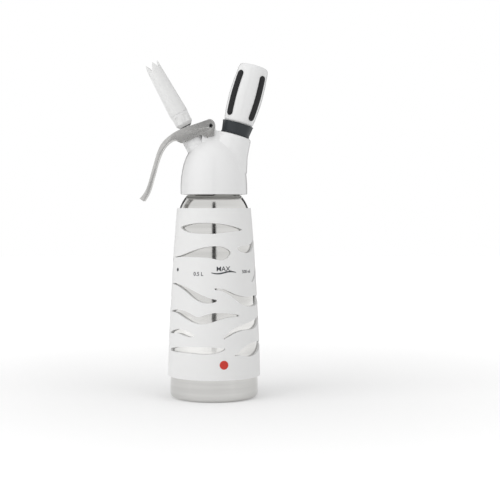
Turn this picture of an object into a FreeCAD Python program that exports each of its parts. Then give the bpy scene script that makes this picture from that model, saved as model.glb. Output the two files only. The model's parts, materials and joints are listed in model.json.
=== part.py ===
import FreeCAD, Part
import math
import os
from FreeCAD import Vector

# Whipped cream dispenser. Lengths are in millimetres and angles in degrees.
# The origin is the centre of the bottle's base and +Z is up.
# The camera side is -Y, the lever points to -X and the charger holder to +X.

# Bottle
BASE_CORNER = 4.5
BOTTLE_WALL = 1.0
SIDE_LOW = (40.7, 20.7)
SIDE_MIDDLE = (37.55, 98.3)
SIDE_HIGH = (31.85, 175.9)
SHOULDER_START = SIDE_HIGH[1]
SHOULDER_MIDDLE = (30.1, 180.2)
SHOULDER_TOP = (25.4, 187.4)
NECK_ROOT = 23.0
NECK_RISE = 1.6
NECK_FOOT = SHOULDER_TOP[1] + NECK_RISE
NECK_HEIGHT = 15.0
NECK_TOP = NECK_FOOT + NECK_HEIGHT

# Head thread, measured on the bottle's neck
HEAD_PITCH = 4.0
HEAD_THREAD_HEIGHT = 1.6
HEAD_THREAD_LEAD = 2.0
HEAD_THREAD_START = NECK_FOOT + HEAD_THREAD_LEAD
HEAD_THREAD_TURNS = 2.75
HEAD_CLEARANCE = 0.5
THREAD_OVERLAP = 0.2

# Sleeve
SLEEVE_THICKNESS = 2.4
SLEEVE_GAP = 0.05
SLEEVE_BOTTOM = SIDE_LOW[1]
SLEEVE_TOP = SIDE_HIGH[1]
CUT_MARGIN = 14.3
CUT_INNER = NECK_ROOT + 2.0
CUT_OUTER = SIDE_LOW[0] + CUT_MARGIN

# Windows of the sleeve: angle from the camera side and height, upper edge then lower edge
WINDOWS = [
    ([(-58, 158.6), (-37, 161.5), (-18, 162.6), (2, 162.2), (28, 159.6), (46, 156.4)],
     [(-57, 157.6), (-39, 153.9), (-23, 152.9), (4, 152.9), (22, 154.2), (45, 155.4)]),
    ([(-71, 131.4), (-44, 134.6), (-28, 138.1), (-6, 141.3), (6, 141.6), (24.4, 136.4)],
     [(-70, 130.6), (-47, 131.5), (-22, 131.6), (-2, 130.4), (9, 128.9), (24, 134.4)]),
    ([(34.4, 139.6), (45, 141.6), (58, 142), (77, 146), (101, 150.6)],
     [(35.4, 137.8), (51, 134.9), (63, 135.9), (76, 139.6), (102, 149)]),
    ([(61, 108.8), (69, 113.6), (80, 121), (101, 130.8)],
     [(62, 107.8), (73, 111.4), (85, 117.5), (102, 128)]),
    ([(-75, 106.8), (-54, 106.6), (-39, 104.2), (-22, 99.4), (-8.6, 95.6), (4, 93.4)],
     [(-74, 105.8), (-51.5, 103.7), (-38.5, 99.6), (-27, 94.4), (-16, 91), (3.4, 91.8)]),
    ([(0.6, 103.6), (11.7, 103), (29, 98), (40, 96), (56, 95.2), (84, 95.6), (99, 93.6)],
     [(1.6, 102.2), (16, 99.4), (26, 94.7), (41.5, 87.6), (57, 86), (78, 86.9), (99, 91.8)]),
    ([(-72, 81.4), (-50, 83.3), (-37, 82.1), (-20, 77.9), (-7, 80.6), (11, 81.5), (34, 79)],
     [(-71, 80.4), (-50, 78.9), (-28, 72.9), (-18, 71.4), (3.4, 74.4), (15, 76.7), (33.4, 77.6)]),
    ([(-76, 61.4), (-64, 64), (-50, 65.9), (-36, 64.6), (-25, 61)],
     [(-75, 60.6), (-62, 61.4), (-50, 61.8), (-38, 59.9), (-26, 60)]),
    ([(11, 58.9), (16.5, 62.6), (25, 66.9), (38, 70), (64, 73.8), (84, 77), (101, 84.6)],
     [(12.4, 57.9), (19.4, 60.4), (31, 63.8), (41, 65), (58, 65.2), (70, 67.1), (102, 83)]),
    ([(-71, 46.4), (-57, 48.8), (-29, 50.6), (-6, 50.8), (14, 49.4)],
     [(-70, 44.6), (-57, 44.7), (-30, 44.8), (-5, 44.5), (12.6, 47.8)]),
    ([(25.6, 43), (31.3, 45.4), (38.2, 49), (50, 52.2), (75, 53), (97, 50.8)],
     [(27, 42.2), (35, 42.5), (46, 40.9), (60, 41.2), (76, 44.5), (98, 49.4)]),
]


def raised(points):
    return [(x, z + NECK_FOOT) for x, z in points]


# Head cover: heights in the head are counted from the foot of the bottle's neck
COVER_WALL = 2.4
COVER_OUTLINE = raised([(31, -0.6), (30.9, 9), (29.3, 23), (26.9, 31.6), (22.4, 40), (13.4, 48.4), (0, 52)])
COVER_JOIN = 20.0
BOSS_LEFT = -11.0
BOSS_RIGHT = 7.5
BOSS_TOP = NECK_FOOT + 58.3
BOSS_HALF_WIDTH = 10.2
BOSS_CORNER = 2.5
EAR_RADIUS = 4.3
BOSS_FOOT = NECK_FOOT + 36.0
EAR_FOOT = NECK_FOOT + 47.0

# Head core
CORE_OUTER = 30.0
CORE_GAP = 0.05
CORE_BOTTOM = NECK_FOOT + 0.6
GASKET_THICKNESS = 2.0
CORE_CEILING = NECK_TOP + GASKET_THICKNESS
PLATE_THICKNESS = 3.5
GASKET_INNER = 18.0
GASKET_OUTER = 24.4

# Nozzle axis: distances are measured up along it from the foot of the tip adapter
NOZZLE_FOOT = Vector(-27.5, 0, NECK_FOOT + 65.3)
NOZZLE_TILT = -28.9
STUB_RADIUS = 10.0
STUB_TOP = -11.0
TOWER_TOP = -12.6
TOWER_RADIUS = 8.6
SEAT_LEVEL = -60.5
SEAT_BORE = 5.2
GUIDE_BOTTOM = -52.0
GUIDE_TOP = -27.0
SPRING_BORE = 7.0
STEM_RADIUS = 4.0
STEM_BORE = 2.4
SLIDE_FIT = 0.06
SEAL_THICKNESS = 1.6
PLUG_THICKNESS = 2.2
PLUG_RADIUS = 6.6
CROSS_HOLE_RADIUS = 1.5
CROSS_HOLE_LEVEL = -56.0
SHOULDER_RADIUS = 7.4
SHOULDER_LEVEL = -7.4
SHOULDER_THICKNESS = 1.3
O_RING_SECTION = 0.9
O_RING_LEVEL = -38.0

# Valve spring
SPRING_WIRE = 0.55
SPRING_MEAN = 5.3
SPRING_TURNS = 7.5
SPRING_STEPS = 16

# Tip adapter and decorating tip
ADAPTER_HEIGHT = 9.9
ADAPTER_FOOT_RADIUS = 5.8
ADAPTER_FOOT_LEVEL = -2.9
WASHER_RADIUS = 5.4
WASHER_THICKNESS = 0.6
ADAPTER_LOW = 8.0
ADAPTER_HIGH = 8.4
ADAPTER_NOTCHES = 6
NOTCH_DEPTH = 0.7
NOTCH_WIDTH = 3.4
STEM_TOP = 7.0
SPIGOT_ROOT = 5.5
SPIGOT_TOP = 17.6
TIP_PITCH = 2.5
TIP_THREAD_HEIGHT = 0.9
TIP_THREAD_TURNS = 2.2
TIP_THREAD_START = 11.4
TIP_CLEARANCE = 0.4
TIP_GASKET = 0.8
TIP_GASKET_GAP = 0.03
TIP_FOOT_RADIUS = 8.7
TIP_END_RADIUS = 6.5
TIP_TOP = 63.8
TIP_WALL = 1.3
PRONGS = 5
PRONG_TURN = 13.0
NOTCH_LENGTH = 8.4

# Charger axis: distances are measured up along it from the foot of the collar
CHARGER_FOOT = Vector(19.6, 0, NECK_FOOT + 55.0)
CHARGER_TILT = 15.8
NECK_RIM = 15.6
NECK_SWELL = 17.0
NECK_SWELL_LEVEL = -17.0
NECK_SKIRT = 20.4
NECK_SKIRT_LEVEL = -31.0
NECK_LEVEL = -0.4
NECK_ROUNDING = 2.4
STUD_ROOT = 10.4
STUD_TOP = 8.8
STUD_BORE = 4.6
STUD_BORE_FOOT = -3.4
PIN_BODY_FOOT = -7.0
PIN_TIP = 0.6
PIN_RADIUS = 1.1
GAS_PASSAGE = 1.5
CHARGER_PITCH = 2.5
CHARGER_THREAD_HEIGHT = 1.0
CHARGER_THREAD_START = 2.0
CHARGER_THREAD_TURNS = 2.2
CHARGER_CLEARANCE = 0.5
NIPPLE_ACROSS = 14.0
NIPPLE_RADIUS = 2.4
NIPPLE_LENGTH = 3.0
VALVE_CAP_WALL = 0.8

# Gas charger
CARTRIDGE_LENGTH = 65.5
CARTRIDGE_RADIUS = 9.0
CARTRIDGE_NECK = 4.2
CARTRIDGE_NECK_LENGTH = 8.0
CARTRIDGE_SHOULDER = 7.0
CARTRIDGE_WALL = 1.4
CARTRIDGE_FOOT = -2.8

# Holder: its end follows the charger's length
COLLAR_LOW = 13.0
COLLAR_HIGH = 14.6
COLLAR_HEIGHT = 10.7
HOLDER_WALL = 2.2
PAD_RADIUS = 7.0
PAD_GAP = 0.15
PAD_THICKNESS = 0.95
CARTRIDGE_END = CARTRIDGE_FOOT + CARTRIDGE_LENGTH
HOLDER_END = CARTRIDGE_END + PAD_GAP + PAD_THICKNESS + HOLDER_WALL
HOLDER_END_CORNER = 3.0
HOLDER_RADII = [13.8, 15.2, 16.2, 15.8, 14.5, 13.6]
HOLDER_LEVELS = [COLLAR_HEIGHT, COLLAR_HEIGHT + 9.3, HOLDER_END - 32, HOLDER_END - 18, HOLDER_END - 5, HOLDER_END]
HOLDER_OUTLINE = list(zip(HOLDER_RADII, HOLDER_LEVELS))
GRIP_ANGLES = [45, 135, 225, 315]
GRIP_LOW = COLLAR_HEIGHT + 4.7
GRIP_HIGH = HOLDER_END - 7.8
GRIP_WIDTH = 6.4
GRIP_DEPTH = 0.9
GRIP_RISE = 0.5

# Lever
PIVOT = Vector(-2.8, 0, NECK_FOOT + 62.6)
LEVER_SHEET = 1.2
LEVER_HALF_WIDTH = 11.9
LEVER_TOP = raised([(-4.2, 68.6), (-14.1, 65.1), (-24, 61.8)])
LEVER_BACK = raised([(-32.2, 58.6), (-40.6, 53.4), (-47.9, 46.3), (-53.5, 33.3), (-58.6, 15.5), (-62.5, 3.8), (-68.4, -4.5)])
LEVER_FRONT = raised([(-64.6, -7), (-60.4, -0.5), (-55.9, 12.8), (-50.6, 31.3), (-46, 41.6), (-39.9, 48)])
LEVER_BELLY = raised([(-35.6, 49.7), (-31.2, 48), (-26.8, 47.7), (-19.8, 50.3), (-12.4, 53.6), (-6.5, 51.5), (0.2, 53.4)])
LEVER_HEEL = (0.9, PIVOT.z)
LEVER_CROWN = (-0.6, PIVOT.z + 4.6)
PIN_HOLE = 2.1
PIN_FIT = 0.05
PIN_HOLLOW = 1.5
PIN_HOLLOW_DEPTH = 6.0
SLOT_RADIUS = 4.7
SLOT_SHIFT = 1.9

UP = Vector(0, 0, 1)
Y_AXIS = Vector(0, 1, 0)
ORIGIN = Vector(0, 0, 0)


def on_axis(shape, foot, tilt):
    moved = shape.copy()
    moved.Placement = FreeCAD.Placement(foot, FreeCAD.Rotation(Y_AXIS, tilt))
    return moved


def on_nozzle(shape):
    return on_axis(shape, NOZZLE_FOOT, NOZZLE_TILT)


def on_charger(shape):
    return on_axis(shape, CHARGER_FOOT, CHARGER_TILT)


def rod(radius, low, high):
    return Part.makeCylinder(radius, high - low, Vector(0, 0, low))


def ring(inner, outer, low, high):
    return rod(outer, low, high).cut(rod(inner, low, high))


def above(level):
    # All the room over one level, as a block wider than the head
    reach = 3 * SIDE_LOW[0]
    return Part.makeBox(2 * reach, 2 * reach, reach, Vector(-reach, -reach, level))


def taper(low_radius, high_radius, low, high):
    return Part.makeCone(low_radius, high_radius, high - low, Vector(0, 0, low))


def flat(points):
    return [Vector(x, 0, z) for x, z in points]


def line(first, last):
    return Part.makeLine(Vector(first[0], 0, first[1]), Vector(last[0], 0, last[1]))


def spline(points, tangents=None):
    curve = Part.BSplineCurve()
    if tangents is None:
        curve.interpolate(flat(points))
    else:
        first, last = flat(tangents)
        curve.interpolate(Points=flat(points), InitialTangent=first, FinalTangent=last)
    return curve


def ends(curve):
    first = curve.value(curve.FirstParameter)
    last = curve.value(curve.LastParameter)
    return (first.x, first.z), (last.x, last.z)


def beside(curve, distance, steps):
    # Points at an even distance to the left of the curve's direction
    points = []
    span = curve.LastParameter - curve.FirstParameter
    for step in range(steps + 1):
        where = curve.FirstParameter + span * step / steps
        spot = curve.value(where)
        heading = curve.tangent(where)[0]
        points.append((spot.x - heading.z * distance, spot.z + heading.x * distance))
    return points


def turned(edges):
    face = Part.Face(Part.Wire(edges))
    return face.revolve(ORIGIN, UP, 360)


def wide(edges, half_width):
    face = Part.Face(Part.Wire(edges))
    face.translate(Vector(0, -half_width, 0))
    return face.extrude(Vector(0, 2 * half_width, 0))


def thread(root, height, pitch, turns, start, foot_width, crest_width):
    # A positive height is an outside thread and a negative height an inside thread
    depth = -THREAD_OVERLAP if height > 0 else THREAD_OVERLAP
    crest = root + height
    section = [(root + depth, -foot_width), (crest, -crest_width), (crest, crest_width), (root + depth, foot_width)]
    corners = [Vector(x, 0, z + start) for x, z in section]
    corners.append(corners[0])
    path = Part.makeHelix(pitch, pitch * turns, root)
    path.translate(Vector(0, 0, start))
    return Part.Wire(path.Edges).makePipeShell([Part.makePolygon(corners)], True, True)


# Bottle and sleeve

def side_circle():
    return Part.Arc(*flat([SIDE_LOW, SIDE_MIDDLE, SIDE_HIGH])).toShape().Curve


def side_radius(height, inset):
    circle = side_circle()
    reach = circle.Radius - inset
    rise = height - circle.Center.z
    return circle.Center.x + math.sqrt(reach * reach - rise * rise)


def side_edge(low, high, inset):
    heights = [low, (low + high) / 2, high]
    points = [(side_radius(height, inset), height) for height in heights]
    return Part.Arc(*flat(points)).toShape(), points[0], points[2]


def shoulder_edge(start, inset):
    middle = (SHOULDER_MIDDLE[0] - inset * 0.9, SHOULDER_MIDDLE[1] - inset * 0.45)
    top = (SHOULDER_TOP[0] - inset * 0.72, SHOULDER_TOP[1] - inset * 0.7)
    return Part.Arc(*flat([start, middle, top])).toShape(), top


def bottle_block(inset):
    corner = BASE_CORNER - inset
    side, low, high = side_edge(BASE_CORNER, SHOULDER_START, inset)
    shoulder, top = shoulder_edge(high, inset)
    base_edge = (low[0] - corner, inset)
    bend = corner * math.sqrt(0.5)
    bend_middle = (low[0] - corner + bend, BASE_CORNER - bend)
    neck = NECK_ROOT - inset
    neck_top = NECK_TOP + inset
    edges = [line((0, inset), base_edge)]
    edges.append(Part.Arc(*flat([base_edge, bend_middle, low])).toShape())
    edges.append(side)
    edges.append(shoulder)
    edges.append(line(top, (neck, NECK_FOOT)))
    edges.append(line((neck, NECK_FOOT), (neck, neck_top)))
    edges.append(line((neck, neck_top), (0, neck_top)))
    edges.append(line((0, neck_top), (0, inset)))
    return turned(edges)


def make_bottle():
    body = bottle_block(0)
    screw = thread(NECK_ROOT, HEAD_THREAD_HEIGHT, HEAD_PITCH, HEAD_THREAD_TURNS, HEAD_THREAD_START, 1.15, 0.45)
    body = body.fuse(screw)
    return body.cut(bottle_block(BOTTLE_WALL))


def angle_height(angle, height):
    return FreeCAD.Base.Vector2d(math.radians(angle), height)


def window_edge(points):
    # The curve is drawn with the angle laid out as a length round the sleeve
    turn = math.radians(1) * SIDE_MIDDLE[0]
    drawn = spline([(angle * turn, height) for angle, height in points])
    poles = [angle_height(pole.x / turn, pole.z) for pole in drawn.getPoles()]
    curve = Part.Geom2d.BSplineCurve2d()
    curve.buildFromPolesMultsKnots(poles, drawn.getMultiplicities(), drawn.getKnots(), False, drawn.Degree)
    return curve


def window_cutter(upper, lower):
    # The window's outline is laid on a small and a large cylinder and the two are joined
    first = Part.Geom2d.Line2dSegment(angle_height(*lower[0]), angle_height(*upper[0]))
    last = Part.Geom2d.Line2dSegment(angle_height(*lower[-1]), angle_height(*upper[-1]))
    curves = [window_edge(upper), last, window_edge(lower), first]
    faces = []
    rims = []
    for radius in (CUT_INNER, CUT_OUTER):
        cylinder = Part.Cylinder()
        cylinder.Radius = radius
        edges = [curve.toShape(cylinder) for curve in curves]
        rims.append(edges)
        faces.append(Part.Face(cylinder, Part.Wire(edges)))
    for inner, outer in zip(*rims):
        faces.append(Part.makeRuledSurface(inner, outer))
    shell = Part.Shell(faces)
    if not shell.isClosed():
        sewn = Part.makeCompound(faces)
        sewn.sewShape()
        shell = sewn.Shells[0]
    solid = Part.Solid(shell)
    if solid.Volume < 0:
        solid.reverse()
    solid.rotate(ORIGIN, UP, -90)
    return solid


def make_sleeve():
    inner, inner_low, inner_high = side_edge(SLEEVE_BOTTOM, SLEEVE_TOP, -SLEEVE_GAP)
    outer, outer_low, outer_high = side_edge(SLEEVE_BOTTOM, SLEEVE_TOP, -SLEEVE_THICKNESS)
    sleeve = turned([inner, line(inner_high, outer_high), outer, line(outer_low, inner_low)])
    cutters = []
    for upper, lower in WINDOWS:
        cutter = window_cutter(upper, lower)
        cutters.append(cutter)
        opposite = cutter.copy()
        opposite.rotate(ORIGIN, UP, 180)
        cutters.append(opposite)
    return sleeve.cut(cutters)


# Head

def cover_block(inset):
    curve = spline(COVER_OUTLINE, [(0, 1), (-1, 0)])
    if inset > 0:
        points = beside(curve, inset, 8)
        points[0] = (COVER_OUTLINE[0][0] - inset, COVER_OUTLINE[0][1])
        points[-1] = (0, COVER_OUTLINE[-1][1] - inset)
        curve = spline(points, [(0, 1), (-1, 0)])
    low, high = ends(curve)
    edges = [curve.toShape(), line(high, (0, low[1])), line((0, low[1]), low)]
    return turned(edges)


def hinge_block():
    width = 2 * BOSS_HALF_WIDTH
    corner = Vector(BOSS_LEFT, -BOSS_HALF_WIDTH, BOSS_FOOT)
    block = Part.makeBox(BOSS_RIGHT - BOSS_LEFT, width, BOSS_TOP - BOSS_FOOT, corner)
    tops = [edge for edge in block.Edges if edge.BoundBox.ZMin > BOSS_TOP - 0.1]
    block = block.makeFillet(BOSS_CORNER, tops)
    side = -BOSS_HALF_WIDTH
    ear_round = Part.makeCylinder(EAR_RADIUS, width, Vector(PIVOT.x, side, PIVOT.z), Y_AXIS)
    ear_foot = Part.makeBox(2 * EAR_RADIUS, width, PIVOT.z - EAR_FOOT, Vector(PIVOT.x - EAR_RADIUS, side, EAR_FOOT))
    return block.fuse([ear_round, ear_foot])


def charger_neck():
    neck = taper(NECK_SWELL, NECK_RIM, NECK_SWELL_LEVEL, NECK_LEVEL)
    rims = [edge for edge in neck.Edges if abs(edge.BoundBox.ZMin - NECK_LEVEL) < 0.1 and edge.BoundBox.ZMax < 1]
    neck = neck.makeFillet(NECK_ROUNDING, rims)
    return on_charger(neck.fuse(taper(NECK_SKIRT, NECK_SWELL, NECK_SKIRT_LEVEL, NECK_SWELL_LEVEL)))


def make_head_cover():
    stub = on_nozzle(rod(STUB_RADIUS, -40, STUB_TOP))
    keep = above(COVER_OUTLINE[0][1] + COVER_JOIN)
    extras = stub.fuse([charger_neck(), hinge_block()]).common(keep)
    cover = cover_block(0).fuse(extras)
    cover = cover.cut(cover_block(COVER_WALL))
    cover = cover.cut(on_nozzle(rod(TOWER_RADIUS, -60, 0)))
    cover = cover.cut(on_charger(rod(STUD_ROOT, -50, 5)))
    return cover.cut(Part.makeCylinder(PIN_HOLE, 40, Vector(PIVOT.x, -20, PIVOT.z), Y_AXIS))


def stem_clear():
    seat = rod(SEAT_BORE, SEAT_LEVEL - 1, GUIDE_BOTTOM)
    guide = rod(STEM_RADIUS + SLIDE_FIT, GUIDE_BOTTOM - 1, GUIDE_TOP + 1)
    spring_room = rod(SPRING_BORE, GUIDE_TOP, TOWER_TOP + 1)
    groove = rod(STEM_RADIUS + SLIDE_FIT + 2 * O_RING_SECTION, O_RING_LEVEL - O_RING_SECTION, O_RING_LEVEL + O_RING_SECTION)
    return seat.fuse([guide, spring_room, groove])


def charger_clear():
    sink = taper(STUD_BORE, 8.2, 4.6, STUD_TOP)
    seat = rod(STUD_BORE, PIN_BODY_FOOT, 4.6)
    return seat.fuse([sink, rod(GAS_PASSAGE, passage_end(), 0)])


def passage_end():
    # The slanted gas passage stops where the upright one from the nipple meets it
    return (NIPPLE_ACROSS - CHARGER_FOOT.x) / math.sin(math.radians(CHARGER_TILT)) - GAS_PASSAGE


def make_head_core():
    thread_wall = NECK_ROOT + HEAD_THREAD_HEIGHT + HEAD_CLEARANCE
    grip = ring(thread_wall, CORE_OUTER, CORE_BOTTOM, CORE_CEILING)
    plate = rod(CORE_OUTER, CORE_CEILING, CORE_CEILING + PLATE_THICKNESS)
    body = grip.fuse(plate).common(cover_block(COVER_WALL + CORE_GAP))
    screw = thread(
        thread_wall, -HEAD_THREAD_HEIGHT, HEAD_PITCH, HEAD_THREAD_TURNS - 0.25,
        HEAD_THREAD_START + HEAD_PITCH / 2, 1.15, 0.45)
    tower = on_nozzle(rod(TOWER_RADIUS, SEAT_LEVEL, TOWER_TOP))
    stud = on_charger(rod(STUD_ROOT, -60, STUD_TOP))
    stud = stud.common(above(CORE_CEILING))
    stud_screw = on_charger(thread(
        STUD_ROOT, CHARGER_THREAD_HEIGHT, CHARGER_PITCH, CHARGER_THREAD_TURNS, CHARGER_THREAD_START, 0.75, 0.25))
    nipple_foot = Vector(NIPPLE_ACROSS, 0, CORE_CEILING - NIPPLE_LENGTH)
    nipple = Part.makeCylinder(NIPPLE_RADIUS, NIPPLE_LENGTH + 1, nipple_foot)
    core = body.fuse([screw, tower, stud, stud_screw, nipple])
    core = core.cut(on_nozzle(stem_clear()))
    core = core.cut(on_charger(charger_clear()))
    drop = (CHARGER_FOOT.x - NIPPLE_ACROSS) / math.tan(math.radians(CHARGER_TILT))
    outlet_length = CHARGER_FOOT.z - drop - nipple_foot.z + 1
    return core.cut(Part.makeCylinder(GAS_PASSAGE, outlet_length, nipple_foot - Vector(0, 0, 1)))


def make_inlet_valve_cap():
    low = CORE_CEILING - NIPPLE_LENGTH
    skirt = Part.makeCylinder(NIPPLE_RADIUS + VALVE_CAP_WALL, NIPPLE_LENGTH - 0.4, Vector(NIPPLE_ACROSS, 0, low))
    skirt = skirt.cut(Part.makeCylinder(NIPPLE_RADIUS, NIPPLE_LENGTH, Vector(NIPPLE_ACROSS, 0, low)))
    bill = Part.makeCone(0.8, NIPPLE_RADIUS + VALVE_CAP_WALL, 2.6, Vector(NIPPLE_ACROSS, 0, low - 2.6))
    hollow = Part.makeCone(0.3, NIPPLE_RADIUS, 1.8, Vector(NIPPLE_ACROSS, 0, low - 1.8))
    return skirt.fuse(bill.cut(hollow))


def make_head_gasket():
    return ring(GASKET_INNER, GASKET_OUTER, NECK_TOP, CORE_CEILING)


# Valve

def make_valve_stem():
    top_of_plug = SEAT_LEVEL - SEAL_THICKNESS
    stem = rod(STEM_RADIUS, top_of_plug - PLUG_THICKNESS, STEM_TOP)
    plug = rod(PLUG_RADIUS, top_of_plug - PLUG_THICKNESS, top_of_plug)
    shoulder = rod(SHOULDER_RADIUS, SHOULDER_LEVEL - SHOULDER_THICKNESS, SHOULDER_LEVEL)
    stem = stem.fuse([plug, shoulder])
    stem = stem.cut(rod(STEM_BORE, CROSS_HOLE_LEVEL - CROSS_HOLE_RADIUS - 0.6, STEM_TOP + 1))
    for direction in (Vector(1, 0, 0), Y_AXIS):
        start = Vector(0, 0, CROSS_HOLE_LEVEL) - direction * 10
        stem = stem.cut(Part.makeCylinder(CROSS_HOLE_RADIUS, 20, start, direction))
    return on_nozzle(stem)


def make_valve_seal():
    return on_nozzle(ring(STEM_RADIUS, PLUG_RADIUS, SEAT_LEVEL - SEAL_THICKNESS, SEAT_LEVEL))


def make_stem_o_ring():
    middle = STEM_RADIUS + SLIDE_FIT + O_RING_SECTION
    return on_nozzle(Part.makeTorus(middle, O_RING_SECTION, Vector(0, 0, O_RING_LEVEL)))


def make_valve_spring():
    length = SHOULDER_LEVEL - SHOULDER_THICKNESS - GUIDE_TOP - 2 * SPRING_WIRE - 0.1
    low = GUIDE_TOP + SPRING_WIRE + 0.05
    steps = int(SPRING_TURNS * SPRING_STEPS)
    points = []
    for step in range(steps + 1):
        turn = 2 * math.pi * step / SPRING_STEPS
        height = low + length * step / steps
        points.append(Vector(SPRING_MEAN * math.cos(turn), SPRING_MEAN * math.sin(turn), height))
    path = Part.BSplineCurve()
    path.interpolate(points)
    heading = path.tangent(path.FirstParameter)[0]
    section = Part.Wire(Part.makeCircle(SPRING_WIRE, points[0], heading))
    coil = Part.Wire(path.toShape()).makePipeShell([section], True, True)
    return on_nozzle(coil)


def make_tip_adapter():
    body = taper(ADAPTER_LOW, ADAPTER_HIGH, 0, ADAPTER_HEIGHT)
    body = body.fuse(taper(ADAPTER_FOOT_RADIUS, ADAPTER_LOW, ADAPTER_FOOT_LEVEL, 0))
    for step in range(ADAPTER_NOTCHES):
        notch = Part.makeBox(3, NOTCH_WIDTH, ADAPTER_HEIGHT - 3.2, Vector(ADAPTER_HIGH - NOTCH_DEPTH, -NOTCH_WIDTH / 2, 1))
        notch.rotate(ORIGIN, UP, step * 360 / ADAPTER_NOTCHES)
        body = body.cut(notch)
    screw = thread(SPIGOT_ROOT, TIP_THREAD_HEIGHT, TIP_PITCH, TIP_THREAD_TURNS, TIP_THREAD_START, 0.75, 0.25)
    body = body.fuse([rod(SPIGOT_ROOT, ADAPTER_HEIGHT, SPIGOT_TOP), screw])
    body = body.cut(rod(STEM_RADIUS, ADAPTER_FOOT_LEVEL - 1, STEM_TOP))
    return on_nozzle(body.cut(rod(STEM_BORE, -1, SPIGOT_TOP + 1)))


def make_stem_washer():
    top = ADAPTER_FOOT_LEVEL
    return on_nozzle(ring(STEM_RADIUS, WASHER_RADIUS, top - WASHER_THICKNESS, top))


def make_tip_gasket():
    return on_nozzle(ring(STEM_BORE, SPIGOT_ROOT, SPIGOT_TOP, SPIGOT_TOP + TIP_GASKET))


def make_decorating_tip():
    low = ADAPTER_HEIGHT + 0.05
    ledge = SPIGOT_TOP + TIP_GASKET + TIP_GASKET_GAP
    root = SPIGOT_ROOT + TIP_THREAD_HEIGHT + TIP_CLEARANCE
    tube = taper(TIP_FOOT_RADIUS, TIP_END_RADIUS, low, TIP_TOP)
    tube = tube.cut(rod(root, low, ledge))
    tube = tube.cut(taper(SPIGOT_ROOT - 0.6, TIP_END_RADIUS - TIP_WALL, ledge - 0.1, TIP_TOP + 0.1))
    screw = thread(root, -TIP_THREAD_HEIGHT, TIP_PITCH, TIP_THREAD_TURNS, TIP_THREAD_START + TIP_PITCH / 2, 0.75, 0.25)
    tube = tube.fuse(screw)
    notch_half = math.pi * TIP_END_RADIUS / PRONGS
    for step in range(PRONGS):
        edges = [line((0, TIP_TOP - NOTCH_LENGTH), (notch_half * 1.02, TIP_TOP + 0.2))]
        edges.append(line((notch_half * 1.02, TIP_TOP + 0.2), (-notch_half * 1.02, TIP_TOP + 0.2)))
        edges.append(line((-notch_half * 1.02, TIP_TOP + 0.2), (0, TIP_TOP - NOTCH_LENGTH)))
        wedge = Part.Face(Part.Wire(edges)).extrude(Vector(0, -12, 0))
        wedge.rotate(ORIGIN, UP, PRONG_TURN + (step + 0.5) * 360 / PRONGS)
        tube = tube.cut(wedge)
    return on_nozzle(tube)


# Lever

def make_lever():
    back = spline(LEVER_TOP[2:] + LEVER_BACK)
    front = spline(LEVER_FRONT + LEVER_BELLY[:6])
    edges = [line(LEVER_TOP[0], LEVER_TOP[1]), line(LEVER_TOP[1], LEVER_TOP[2]), back.toShape()]
    edges.append(line(LEVER_BACK[-1], LEVER_FRONT[0]))
    edges.append(front.toShape())
    edges.append(line(LEVER_BELLY[5], LEVER_BELLY[6]))
    edges.append(line(LEVER_BELLY[6], LEVER_HEEL))
    edges.append(Part.Arc(*flat([LEVER_HEEL, LEVER_CROWN, LEVER_TOP[0]])).toShape())
    lever = wide(edges, LEVER_HALF_WIDTH)
    under_back = spline(beside(back, LEVER_SHEET, 12))
    start, stop = ends(under_back)
    heading = Vector(LEVER_TOP[2][0] - LEVER_TOP[0][0], 0, LEVER_TOP[2][1] - LEVER_TOP[0][1]).normalize()
    entry = (start[0] - heading.x * 30, start[1] - heading.z * 30)
    finish = (stop[0] - 4, stop[1] - 7)
    room = [line(entry, start), under_back.toShape(), line(stop, finish)]
    room.append(line(finish, (40, finish[1])))
    room.append(line((40, finish[1]), (40, entry[1])))
    room.append(line((40, entry[1]), entry))
    lever = lever.cut(wide(room, LEVER_HALF_WIDTH - LEVER_SHEET))
    slot_low = on_nozzle(rod(SLOT_RADIUS, -12, 3))
    shift = FreeCAD.Rotation(Y_AXIS, NOZZLE_TILT).multVec(Vector(SLOT_SHIFT, 0, 0))
    slot_high = slot_low.copy()
    slot_high.translate(shift)
    slot_middle = on_nozzle(Part.makeBox(SLOT_SHIFT, 2 * SLOT_RADIUS, 15, Vector(0, -SLOT_RADIUS, -12)))
    lever = lever.cut([slot_low, slot_high, slot_middle])
    reach = LEVER_HALF_WIDTH + 5
    hole = Part.makeCylinder(PIN_HOLE + PIN_FIT, 2 * reach, Vector(PIVOT.x, -reach, PIVOT.z), Y_AXIS)
    return lever.cut(hole)


def make_lever_pin():
    reach = LEVER_HALF_WIDTH + 0.3
    pin = Part.makeCylinder(PIN_HOLE, 2 * reach, Vector(PIVOT.x, -reach, PIVOT.z), Y_AXIS)
    for side in (-1, 1):
        end = Vector(PIVOT.x, side * (reach + 0.1), PIVOT.z)
        pin = pin.cut(Part.makeCylinder(PIN_HOLLOW, PIN_HOLLOW_DEPTH, end, Y_AXIS * -side))
    return pin


# Charger side

def make_piercing_pin():
    foot = rod(STUD_BORE, PIN_BODY_FOOT, STUD_BORE_FOOT)
    shank = rod(PIN_RADIUS, STUD_BORE_FOOT, PIN_TIP - 2.4)
    point = taper(PIN_RADIUS, 0.25, PIN_TIP - 2.4, PIN_TIP)
    pin = foot.fuse([shank, point])
    for side in (-1, 1):
        pin = pin.cut(Part.makeCylinder(0.6, 8, Vector(2.4 * side, 0, PIN_BODY_FOOT - 1), UP))
    return on_charger(pin)


def make_charger_gasket():
    return on_charger(ring(PIN_RADIUS + 0.6, STUD_BORE, STUD_BORE_FOOT, CARTRIDGE_FOOT))


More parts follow.
